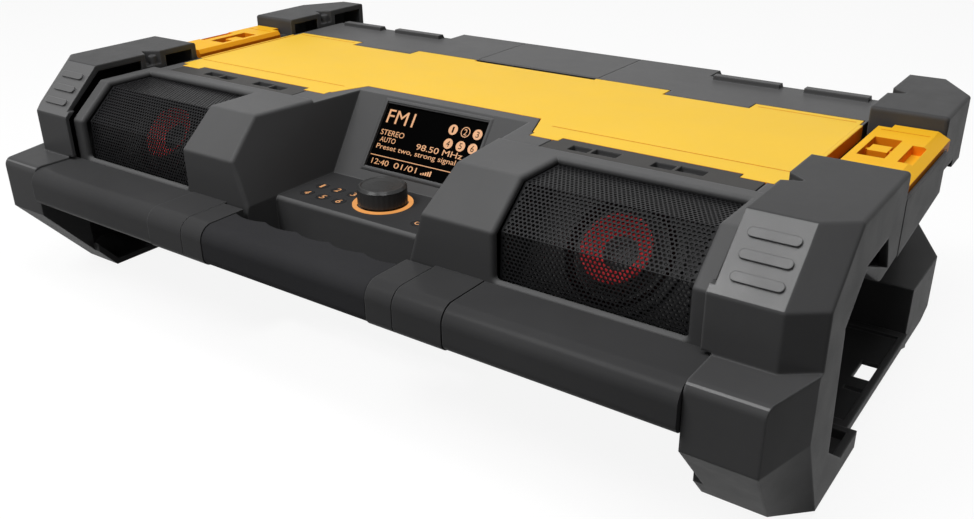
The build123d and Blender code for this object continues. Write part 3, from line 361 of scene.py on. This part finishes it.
# ------------------------------------------------------------------ materials
# radii to which the edges look rounded
BROAD_EDGE = 1.8 * MM
EDGE = 1.1 * MM
FINE_EDGE = 0.8 * MM
CRISP_EDGE = 0.6 * MM
# the edge gain paints a highlight along the rounded edges
M = {
    # the deck's side colour paints shade on its front faces
    "deck": moulded_plastic("deck_plastic", (0.110, 0.110, 0.111), 0.42, level=0.4, coat=0.05,
                            round_edges=BROAD_EDGE, edge_highlight_gain=1.6,
                            side_shade_colour=(0.060, 0.060, 0.061)),
    "panel": moulded_plastic("key_panel", (0.040, 0.040, 0.041), 0.40),
    "shell": moulded_plastic("shell_plastic", (0.026, 0.026, 0.027), 0.50, round_edges=EDGE,
                             edge_highlight_gain=1.8),
    "bumper": moulded_plastic("bumper_plastic", (0.064, 0.064, 0.065), 0.42, grain=0.08 * MM,
                              level=0.4, coat=0.05, round_edges=BROAD_EDGE, edge_highlight_gain=1.9),
    # the pads' lighter colour is a painted highlight of the key lamp; their satin gloss is their
    # own
    "pad_highlight": moulded_plastic("pad_painted_highlight", (0.085, 0.085, 0.086), 0.38, grain=0.08 * MM, level=0.5,
                           round_edges=FINE_EDGE, edge_highlight_gain=1.5, ior=SATIN),
    "strip": moulded_plastic("strip_plastic", (0.070, 0.068, 0.066), 0.42, level=0.4,
                             round_edges=CRISP_EDGE, edge_highlight_gain=2.0),
    "bar": moulded_plastic("bar_plastic", (0.046, 0.046, 0.047), 0.40, level=0.4, coat=0.05,
                           round_edges=FINE_EDGE, edge_highlight_gain=2.2),
    "grip": moulded_plastic("grip_rubber", (0.034, 0.034, 0.036), 0.62, grain=0.15 * MM,
                            grain_scale=900.0, round_edges=EDGE),
    "foot": moulded_plastic("foot_rubber", (0.02, 0.02, 0.02), 0.7, level=0.2),
    # the lid's side colour paints shade: its sides take a deeper orange
    "lid": moulded_plastic("lid_plastic", (0.96, 0.61, 0.070), 0.40, grain=0.04 * MM, level=0.4,
                           variation=0.02, round_edges=EDGE, side_shade_colour=(0.86, 0.27, 0.01)),
    # the latch's side colour paints shade on its sides
    "latch": moulded_plastic("latch_plastic", (0.97, 0.52, 0.025), 0.36, grain=0.04 * MM,
                             level=0.4, variation=0.03, round_edges=CRISP_EDGE,
                             side_shade_colour=(0.84, 0.25, 0.008)),
    "knob": moulded_plastic("knob_plastic", (0.039, 0.039, 0.039), 0.30, grain=0.02 * MM,
                            level=0.5, coat=0.25, round_edges=0.5 * MM, edge_highlight_gain=2.0),
    "button": moulded_plastic("button_plastic", (0.028, 0.028, 0.029), 0.42, grain=0.03 * MM),
    "tray": moulded_plastic("tray_plastic", (0.03, 0.03, 0.03), 0.55),
    "cone": woven_cloth("cone_cloth", (0.050, 0.050, 0.050)),
    "red_cone": woven_cloth("red_cone_cloth", (0.90, 0.045, 0.055)),
    "surround": moulded_plastic("surround_rubber", (0.006, 0.002, 0.002), 0.5),
    "speaker_box": moulded_plastic("speaker_box_plastic", (0.085, 0.085, 0.085), 0.5),
    "board": moulded_plastic("board_laminate", (0.02, 0.12, 0.05), 0.4),
    "gasket": moulded_plastic("gasket_foam", (0.02, 0.02, 0.02), 0.85, grain=0.3 * MM,
                              grain_scale=1200.0),
    "glass": moulded_plastic("display_glass", (0.0015, 0.0015, 0.0015), 0.30, grain=0.004 * MM,
                             level=0.05),
    "steel": metal("plain_steel", (0.55, 0.55, 0.56), 0.34),
    "brass": metal("plated_brass", (0.75, 0.58, 0.28), 0.3),
    "supply": metal("supply_can", (0.30, 0.31, 0.32), 0.5, 0.6),
    "mesh": metal("mesh_powder_coat", (0.016, 0.016, 0.017), 0.30, 0.0, ior=1.15),
    "basket": metal("basket_powder_coat", (0.060, 0.060, 0.060), 0.45, 0.0, ior=1.2),
    "ring": glowing("ring_light", (1.0, 0.42, 0.110), 0.84),
    "legend": glowing("legend_light", (1.0, 0.48, 0.20), 0.76),
}

slot_material = {
    "deck_black": "deck", "shell_black": "shell", "bumper_black": "bumper", "bar_black": "bar",
    "grip_rubber": "grip", "foot_rubber": "foot", "lid_yellow": "lid", "latch_yellow": "latch",
    "core_steel": "steel", "pin_steel": "steel", "mesh_steel": "mesh", "basket_steel": "basket",
    "cone_paper": "cone", "surround_red": "surround", "lens_clear": "glass",
    "display_black": "glass", "board_green": "board", "switch_black": "tray",
    "ring_amber": "ring", "knob_black": "knob", "button_black": "button",
    "gasket_black": "gasket", "tray_black": "tray", "terminal_brass": "brass",
    "supply_grey": "supply", "inlet_black": "tray",
}

for name, obj in nodes.items():
    obj.data.materials.clear()
    obj.data.materials.append(M[slot_material[slot_of[name]]])

# the speaker boxes are lighter than what else is moulded in tray black
for side, _ in SIDES:
    nodes[f"speaker_box_{side}"].data.materials[0] = M["speaker_box"]


# ------------------------------------------------------------------ painted faces
PAD_FACING = Vector((0, -0.683, 0.731))
PAD_COSINE = 0.99
LEVEL_Z = 0.999            # least normal z of a level face
KEY_SLACK = 0.5 * MM       # between the key tops and the shelf round them
LID_SLACK = 0.1 * MM       # between the tops of the lid and the strips
STRIP_ENDS = (96.0 * MM, 214.0 * MM)
STRIP_REACH = 6.0 * MM     # how far behind the lid's front edge a strip's face may lie


def paint_faces(obj, material, chosen):
    """A second material on the faces of a node that the test picks out."""
    obj.data.materials.append(material)
    for face in obj.data.polygons:
        if chosen(face):
            face.material_index = len(obj.data.materials) - 1


def is_level(face, height, slack):
    return face.normal.z > LEVEL_Z and abs(face.center.z - height) < slack


def is_strip(face):
    """Whether a face of the deck lies level with the lid, at its front and between the ends."""
    return (is_level(face, lid_high.z, LID_SLACK)
            and STRIP_ENDS[0] < abs(face.center.x) < STRIP_ENDS[1]
            and face.center.y < lid_low.y + STRIP_REACH)


# the ribbed front slopes of the bumpers take a lighter colour, a painted highlight of the key
# lamp, and a satin gloss
for side, _ in SIDES:
    paint_faces(nodes[f"bumper_front_{side}"], M["pad_highlight"],
                lambda face: face.normal.dot(PAD_FACING) > PAD_COSINE)

# the console shelf's level top takes a darker colour, and strips are inlaid between the hood and
# the lid
paint_faces(nodes["upper_deck"], M["panel"], lambda face: is_level(face, key_top, KEY_SLACK))
paint_faces(nodes["upper_deck"], M["strip"], is_strip)


# ------------------------------------------------------------------ speaker meshes
MESH_TOP = 31.0 * MM       # length of the level part
MESH_LEAN = 1.5 * MM       # the front part leans back this much
MESH_DROP = 32.5 * MM      # height of the front part
MESH_THICK = 0.8 * MM
HOLE_PITCH = 2.4 * MM
ROW_PITCH = 2.07 * MM
HOLE_SHARE = 0.78          # hole width over pitch
HOLE_CORNER = 0.72         # its slanting points lie this far out, as a share of a square's
SPOTS_PER_METRE = 1e7      # places nearer to each other than this share one point

mesh_low, mesh_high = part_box("grille_right")
mesh_line = [
    (mesh_high.y, mesh_high.z),
    (mesh_high.y - MESH_TOP, mesh_high.z),
    (mesh_low.y + MESH_LEAN, mesh_low.z + MESH_DROP),
    (mesh_low.y, mesh_low.z),
]
# corners and side middles of a square, in order
OCTAGON = [(1, 0), (1, 1), (0, 1), (-1, 1), (-1, 0), (-1, -1), (0, -1), (1, -1)]


def moved_inwards(line, depth):
    """The folded (y, z) line moved behind itself, mitred at its folds."""
    ways = [Vector((b[0] - a[0], b[1] - a[1])).normalized() for a, b in zip(line, line[1:])]
    backs = [Vector((-way.y, way.x)) for way in ways]
    result = []
    for i, point in enumerate(line):
        first, second = backs[max(i - 1, 0)], backs[min(i, len(backs) - 1)]
        middle = (first + second).normalized()
        result.append(tuple(Vector(point) + middle * depth / middle.dot(first)))
    return result


def perforated_sheet(x0, x1, line, thick):
    """Points and faces of a sheet along the folded line, with staggered eight-sided holes."""
    layers = (line, moved_inwards(line, thick))
    points, index, faces = [], {}, []
    columns = int((x1 - x0) / HOLE_PITCH)
    margin = (x1 - x0 - columns * HOLE_PITCH) / 2

    def spot(x, part, t, layer):
        a, b = layers[layer][part:part + 2]
        place = (x, a[0] + (b[0] - a[0]) * t, a[1] + (b[1] - a[1]) * t)
        key = tuple(round(c * SPOTS_PER_METRE) for c in place)
        if key not in index:
            index[key] = len(points)
            points.append(place)
        return index[key]

    def patch(corners, part):
        """The same face on both layers, between places (x, t)."""
        for layer in (0, 1):
            face = [spot(x, part, t, layer) for x, t in corners]
            faces.append(face if layer else face[::-1])

    def wall(first, second, part):
        """A face through the thickness, between two places (x, t)."""
        corners = ((*first, 0), (*second, 0), (*second, 1), (*first, 1))
        faces.append([spot(x, part, t, layer) for x, t, layer in corners])

    row_number = 0
    for part in range(len(line) - 1):
        length = (Vector(line[part + 1]) - Vector(line[part])).length
        rows = round(length / ROW_PITCH)
        for row in range(rows):
            t0, t1 = row / rows, (row + 1) / rows
            middle, half = (t0 + t1) / 2, 0.5 / rows
            odd = row_number % 2
            start = x0 + margin + odd * HOLE_PITCH / 2
            cells = columns - odd
            for cell in range(cells):
                x = start + (cell + 0.5) * HOLE_PITCH
                rim, hole = [], []
                for a, b in OCTAGON:
                    share = HOLE_SHARE * (HOLE_CORNER if a and b else 1)
                    rim.append((x + a * HOLE_PITCH / 2, middle + b * half))
                    hole.append((x + a * HOLE_PITCH / 2 * share, middle + b * half * share))
                for i in range(len(OCTAGON)):
                    j = (i + 1) % len(OCTAGON)
                    patch((rim[i], rim[j], hole[j], hole[i]), part)
                    wall(hole[i], hole[j], part)
            end = start + cells * HOLE_PITCH
            patch(((x0, t0), (start, t0), (start, middle), (start, t1), (x0, t1)), part)
            patch(((end, t0), (x1, t0), (x1, t1), (end, t1), (end, middle)), part)
            for x in (x0, x1):
                wall((x, t0), (x, t1), part)
            row_number += 1
    for part, t in ((0, 0.0), (len(line) - 2, 1.0)):
        wall((x0, t), (x1, t), part)
    return points, faces


def make_grilles():
    points, faces = perforated_sheet(mesh_low.x, mesh_high.x, mesh_line, MESH_THICK)
    for side, way in SIDES:
        node = f"grille_{side}"
        spots = [(way * x, y, z) for x, y, z in points]
        piece = link_mesh(f"speaker_mesh_{side}", spots, [face[::way] for face in faces],
                          M["mesh"], body_of[node])
        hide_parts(node)


make_grilles()


# ------------------------------------------------------------------ drivers
cone_low, cone_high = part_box("driver_cone_right")
driver_centre = (cone_low + cone_high) / 2
DRIVER_AXIS = Vector((0, -0.74, 0.67)).normalized()
# (radius, distance out along the axis) of the red cone's wall, in millimetres
RED_CONE = ((9.0, 0.5), (17.0, 8.0), (17.8, 8.3), (18.4, 7.6), (17.6, 7.0), (9.8, -0.3))
TURN_STEPS = 64


def turned(profile, place):
    """Points and faces of a closed profile turned round the local z axis."""
    points = [place @ Vector((r * math.cos(t), r * math.sin(t), z))
              for t in (2 * math.pi * i / TURN_STEPS for i in range(TURN_STEPS))
              for r, z in profile]
    faces = [face[::-1] for face in loop_faces(TURN_STEPS, len(profile))]
    return points, faces


def make_red_cones():
    lean = DRIVER_AXIS.to_track_quat("Z", "X").to_matrix().to_4x4()
    for side, way in SIDES:
        centre = Vector((driver_centre.x * way, driver_centre.y, driver_centre.z))
        place = Matrix.Translation(centre) @ lean @ Matrix.Scale(MM, 4)
        points, faces = turned(RED_CONE, place)
        node = f"driver_cone_{side}"
        link_mesh(f"red_cone_{side}", points, faces, M["red_cone"], body_of[node])


make_red_cones()


# ------------------------------------------------------------------ lid edges
SKIRT_SHEET = 0.3 * MM     # thickness of the lid's side skirts
SKIRT_AIR = 0.06 * MM      # between a skirt and the deck that it covers
SKIRT_DROP = 8.0 * MM
SKIRT_SHARE = 0.97         # of the length between the bumpers


def make_lid_edges():
    """Yellow skirts that fold down over the deck's rim beside the lid."""
    bay_low, bay_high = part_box("side_handle_right")
    middle = (bay_low.y + bay_high.y) / 2
    half = (bay_high.y - bay_low.y) / 2 * SKIRT_SHARE
    inner, outer = lid_high.x - SKIRT_AIR, deck_high.x + SKIRT_AIR
    top = lid_high.z + SKIRT_AIR
    profile = [(inner, top), (outer, top), (outer, top - SKIRT_DROP),
               (outer + SKIRT_SHEET, top - SKIRT_DROP), (outer + SKIRT_SHEET, top),
               (outer, top + SKIRT_SHEET), (inner, top + SKIRT_SHEET)]
    count = len(profile)
    faces = loop_faces(2, count, closed=False)
    faces += [tuple(range(count))[::-1], tuple(range(count, 2 * count))]
    for side, way in SIDES:
        points = [(way * x, y, z) for y in (middle - half, middle + half) for x, z in profile]
        link_mesh(f"lid_edge_{side}", points, [face[::way] for face in faces], M["lid"],
                  body_of["media_lid"])


make_lid_edges()


# ------------------------------------------------------------------ display
# drawn in millimetres from the middle of the window
LENS_HALF = 1.0            # the drawing plane lies this far out from the lens's middle
LENS_DEPTH = 1.4           # of the lens front under the fascia
FASCIA_OUT = Vector((0, -0.8, 0.6))
FASCIA_UP = Vector((0, 0.6, 0.8))
SCREEN_TEXTS = (
    ("FM1", (-37.2, 9.0), (-15.6, 18.0)),
    ("STEREO", (-38.0, 0.7), (-19.0, 4.3)),
    ("AUTO", (-36.6, -3.9), (-24.0, -0.6)),
    ("98.50 MHz", (-7.0, -4.2), (28.6, -0.4)),
    ("Preset two, strong signal", (-37.4, -9.6), (25.4, -5.4)),
    ("12:40", (-36.8, -18.9), (-23.0, -15.3)),
    ("01/01", (-18.5, -18.9), (-0.4, -15.3)),
)
RULE_HALF = 39.6           # half the length of the ruled line
RULE_V = -13.2
RULE_THICK = 0.5
BAR_COUNT = 5              # bars of the signal sign
BAR_START = (3.2, -18.9)
BAR_PITCH = 1.7
BAR_WIDE = 1.1
BAR_FIRST = 0.9            # height of the first bar
BAR_GROWTH = 0.62
BADGE_RADIUS = 3.35
BADGE_LINE = 0.5
BADGE_SPOTS = [(u, v) for v in (13.0, 3.8) for u in (15.2, 24.6, 33.6)]
BADGE_DIGIT = (2.3, 3.9)
DARK_LIFT = 0.06           # dark digits lie on the lit badges
DARK_INK = 0.04
CHOSEN_PRESET = 2
ONE_SHARE = 0.55           # width of a 1 over that of the other digits

lens_middle = (lens_low + lens_high) / 2 + FASCIA_OUT * LENS_HALF * MM
fascia = Matrix(((1, 0, 0), FASCIA_UP, FASCIA_OUT)).transposed().to_4x4()
screen = Matrix.Translation(lens_middle) @ fascia @ Matrix.Scale(MM, 4)
above_lit = screen @ Matrix.Translation((0, 0, DARK_LIFT))


def digit_box(u, v, wide, tall, text):
    """Two corners of the box that a digit fills."""
    wide = wide * (ONE_SHARE if text == "1" else 1.0)
    return (u - wide / 2, v - tall / 2), (u + wide / 2, v + tall / 2)


def make_display():
    """Lit texts, a ruled line, signal bars and six badges with dark digits."""
    lit = [lettering(text, screen, low, high) for text, low, high in SCREEN_TEXTS]
    lit.append(slab(box_outline(-RULE_HALF, RULE_HALF, RULE_V - RULE_THICK / 2,
                                RULE_V + RULE_THICK / 2), screen))
    for i in range(BAR_COUNT):
        u, v = BAR_START[0] + BAR_PITCH * i, BAR_START[1]
        lit.append(slab(box_outline(u, u + BAR_WIDE, v, v + BAR_FIRST + BAR_GROWTH * i), screen))
    dark = []
    for number, (u, v) in enumerate(BADGE_SPOTS, 1):
        low, high = digit_box(u, v, *BADGE_DIGIT, str(number))
        rim = arc(BADGE_RADIUS, centre=(u, v))
        if number == CHOSEN_PRESET:
            lit.append(slab(rim, screen, hole=arc(BADGE_RADIUS - BADGE_LINE, centre=(u, v))))
            lit.append(lettering(str(number), screen, low, high))
        else:
            lit.append(slab(rim, screen))
            dark.append(lettering(str(number), above_lit, low, high, DARK_INK))
    link_piece("display_content", merged(lit), M["legend"], case)
    link_piece("display_digits", merged(dark), M["glass"], case)


make_display()


# ------------------------------------------------------------------ display bezel
BEZEL_WIDE = 2.2
BEZEL_RISE = 0.6
BEZEL_SLOPE_END = 0.2      # the slope ends this far from the window
BEZEL_SUNK = 0.4           # depth of its foot in the fascia
BEZEL_LIP = 0.02           # height of its outer edge


def make_bezel():
    """Sloped frame round the display window."""
    half_u = (lens_high.x - lens_low.x) / 2 / MM
    half_v = (lens_high - lens_low).dot(FASCIA_UP) / 2 / MM
    rings = ((BEZEL_WIDE, BEZEL_LIP), (BEZEL_SLOPE_END, BEZEL_RISE), (0.0, BEZEL_RISE),
             (0.0, -BEZEL_SUNK), (BEZEL_WIDE, -BEZEL_SUNK))
    points = [screen @ Vector((u * (half_u + grow), v * (half_v + grow), lift + LENS_DEPTH))
              for grow, lift in rings for u, v in ((-1, -1), (1, -1), (1, 1), (-1, 1))]
    link_mesh("display_bezel", points, loop_faces(len(rings), 4), M["deck"], case)


make_bezel()


# ------------------------------------------------------------------ key legends
PRESET_COUNT = 6
KEY_DIGIT = (3.4, 5.0)
SIGN_RADIUS = 2.2
SIGN_LINE = 0.6
POWER_ARC = (130, 410)     # from and to, in degrees
POWER_LINE = 0.65
POWER_STROKE = 0.7


def on_key(node):
    """Drawing plane in millimetres on top of a key."""
    low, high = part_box(node)
    middle = ((low.x + high.x) / 2, (low.y + high.y) / 2, high.z)
    return Matrix.Translation(middle) @ Matrix.Scale(MM, 4)


def power_sign(place):
    rim = arc(SIGN_RADIUS, *POWER_ARC) + arc(SIGN_RADIUS - POWER_LINE, *POWER_ARC)[::-1]
    return [slab(rim, place),
            slab(box_outline(-POWER_STROKE / 2, POWER_STROKE / 2, 0.5, 2.6), place)]


def source_sign(place):
    return [slab(arc(SIGN_RADIUS), place, hole=arc(SIGN_RADIUS - SIGN_LINE)),
            slab(arc(0.7, steps=20), place)]


def menu_sign(place):
    return [slab(box_outline(-2.0, 2.0, y, y + SIGN_LINE), place) for y in (-1.7, -0.3, 1.1)]


def play_sign(place):
    return [slab([(-1.3, -1.9), (2.0, 0.0), (-1.3, 1.9)], place)]


def make_legends():
    for number in range(1, PRESET_COUNT + 1):
        node = f"preset_button_{number}"
        low, high = digit_box(0, 0, *KEY_DIGIT, str(number))
        link_piece(f"legend_{number}", lettering(str(number), on_key(node), low, high),
                   M["legend"], body_of[node])
    for node, sign in (("power_button", power_sign), ("source_button", source_sign),
                       ("menu_button", menu_sign), ("play_button", play_sign)):
        link_piece(f"legend_{node}", merged(sign(on_key(node))), M["legend"], body_of[node])


make_legends()


# ------------------------------------------------------------------ volume knob
KNOB_RADIUS = 15.0 * MM
KNOB_LIFT = 1.0 * MM       # of the skirt over the keys' tops
KNOB_FLUTES = 30
FLUTE_DEPTH = 0.12 * MM
STEPS_PER_FLUTE = 6
SHAFT_RADIUS = 3.0 * MM
SHAFT_STEPS = 24


def make_knob():
    """Turned cap with a bevelled rim, a dished top and fine flutes round its side."""
    low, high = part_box("volume_knob")
    foot, top = key_top + KNOB_LIFT, high.z
    middle_y = (low.y + high.y) / 2
    r = KNOB_RADIUS
    # (radius, height, share of the flutes), from the shaft out, up and in over the top
    profile = [(SHAFT_RADIUS, foot, 0), (r - 0.5 * MM, foot, 0), (r, foot + 0.6 * MM, 1),
               (r, top - 2.4 * MM, 1), (r, top - 1.5 * MM, 0), (r - 1.5 * MM, top, 0),
               (r - 2.3 * MM, top, 0), (r - 3.0 * MM, top - 0.5 * MM, 0),
               (r * 0.5, top - 0.8 * MM, 0), (0.5 * MM, top - 0.9 * MM, 0)]
    count = KNOB_FLUTES * STEPS_PER_FLUTE
    points = []
    for radius, z, share in profile:
        for i in range(count):
            wave = 0.5 - 0.5 * math.cos(2 * math.pi * i / STEPS_PER_FLUTE)
            reach = radius - FLUTE_DEPTH * share * wave
            turn = 2 * math.pi * i / count
            points.append((reach * math.cos(turn), middle_y + reach * math.sin(turn), z))
    faces = loop_faces(len(profile), count, closed=False)
    faces.append(tuple(range(count))[::-1])
    faces.append(tuple(range(len(points) - count, len(points))))
    base = len(points)
    for z in (low.z, foot):
        rim = arc(SHAFT_RADIUS, steps=SHAFT_STEPS, centre=(0, middle_y))
        points += [(x, y, z) for x, y in rim]
    faces += [tuple(base + i for i in face) for face in loop_faces(2, SHAFT_STEPS, closed=False)]
    faces.append(tuple(range(base, base + SHAFT_STEPS))[::-1])
    knob = link_mesh("knob_cap", points, faces, M["knob"], body_of["volume_knob"])
    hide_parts("volume_knob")


make_knob()


# ------------------------------------------------------------------ camera
# solved from points of the photograph, which is 974 pixels wide
PHOTO_WIDE = 974.0
FOCAL_PIXELS = 970.1
SENSOR = 36.0
EYE = (0.364973, -0.502454, 0.300694)
EYE_RIGHT = Vector((0.8134, 0.5817, -0.0137))
EYE_AHEAD = Vector((-0.5318, 0.7337, -0.4230))

camera = bpy.data.objects.new("camera", bpy.data.cameras.new("camera"))
bpy.context.scene.collection.objects.link(camera)
camera.data.sensor_width = SENSOR
camera.data.lens = FOCAL_PIXELS / PHOTO_WIDE * SENSOR
camera.data.clip_start = 0.01
camera.data.clip_end = 20.0
ahead = EYE_AHEAD.normalized()
up = EYE_RIGHT.normalized().cross(ahead).normalized()
right = ahead.cross(up).normalized()
turn = Matrix((right, up, -ahead)).transposed().to_4x4()
camera.matrix_world = Matrix.Translation(EYE) @ turn
bpy.context.scene.camera = camera


# ------------------------------------------------------------------ stage and light
FLOOR_HALF = 6.0
FLOOR_SHADE = 0.12         # diffuse part of the floor, which keeps the shadow
FLOOR_GLOW = 0.90          # lit part of the floor, for the rays that see it
WORLD_LIGHT = 0.14         # light from all round
LAMP_AIM = Vector((0, 0, 0.1))
LAMPS = (                  # name, place, width and height, watts
    ("key", (-0.44, -0.87, 1.36), (0.7, 0.6), 14.0),
    ("top", (0.25, -0.30, 1.6), (0.6, 0.6), 10.3),
    ("front", (-0.30, -1.7, 0.60), (1.2, 0.4), 1.5),
)


def seen_rays(tree):
    """1 for camera, glossy and transmission rays, 0 for the light that falls on the object."""
    path = add(tree, "ShaderNodeLightPath")
    inner = add(tree, "ShaderNodeMath", operation="MAXIMUM")
    outer = add(tree, "ShaderNodeMath", operation="MAXIMUM")
    tree.links.new(path.outputs["Is Camera Ray"], outer.inputs[0])
    tree.links.new(path.outputs["Is Glossy Ray"], inner.inputs[0])
    tree.links.new(path.outputs["Is Transmission Ray"], inner.inputs[1])
    tree.links.new(inner.outputs[0], outer.inputs[1])
    return outer.outputs[0]


def make_floor():
    mesh = bpy.data.meshes.new("floor")
    corners = box_outline(-FLOOR_HALF, FLOOR_HALF, -FLOOR_HALF, FLOOR_HALF)
    mesh.from_pydata([(x, y, 0) for x, y in corners], [], [(0, 1, 2, 3)])
    floor = bpy.data.objects.new("floor", mesh)
    bpy.context.scene.collection.objects.link(floor)
    mat, tree, shader = new_material("floor_white")
    shader.inputs["Base Color"].default_value = (FLOOR_SHADE, FLOOR_SHADE, FLOOR_SHADE, 1)
    shader.inputs["Roughness"].default_value = 0.9
    shader.inputs["Specular IOR Level"].default_value = 0.0
    lift = add(tree, "ShaderNodeMath", operation="MULTIPLY")
    lift.inputs[1].default_value = FLOOR_GLOW
    tree.links.new(seen_rays(tree), lift.inputs[0])
    shader.inputs["Emission Color"].default_value = (1, 1, 1, 1)
    tree.links.new(lift.outputs[0], shader.inputs["Emission Strength"])
    mesh.materials.append(mat)


def make_world():
    world = bpy.data.worlds.new("studio")
    bpy.context.scene.world = world
    world.use_nodes = True
    tree = world.node_tree
    back = tree.nodes["Background"]
    strength = remap(tree, seen_rays(tree), WORLD_LIGHT, 1.0, 0.0, 1.0)
    tree.links.new(strength, back.inputs["Strength"])
    back.inputs["Color"].default_value = (1, 1, 1, 1)


def softbox(name, place, size, power):
    lamp = bpy.data.lights.new(name, "AREA")
    lamp.shape = "RECTANGLE"
    lamp.size, lamp.size_y = size
    lamp.energy = power
    obj = bpy.data.objects.new(name, lamp)
    bpy.context.scene.collection.objects.link(obj)
    obj.location = place
    obj.rotation_euler = (LAMP_AIM - Vector(place)).to_track_quat("-Z", "Y").to_euler()


make_floor()
make_world()
for name, place, size, power in LAMPS:
    softbox(name, place, size, power)

bpy.context.scene.view_settings.view_transform = "Standard"
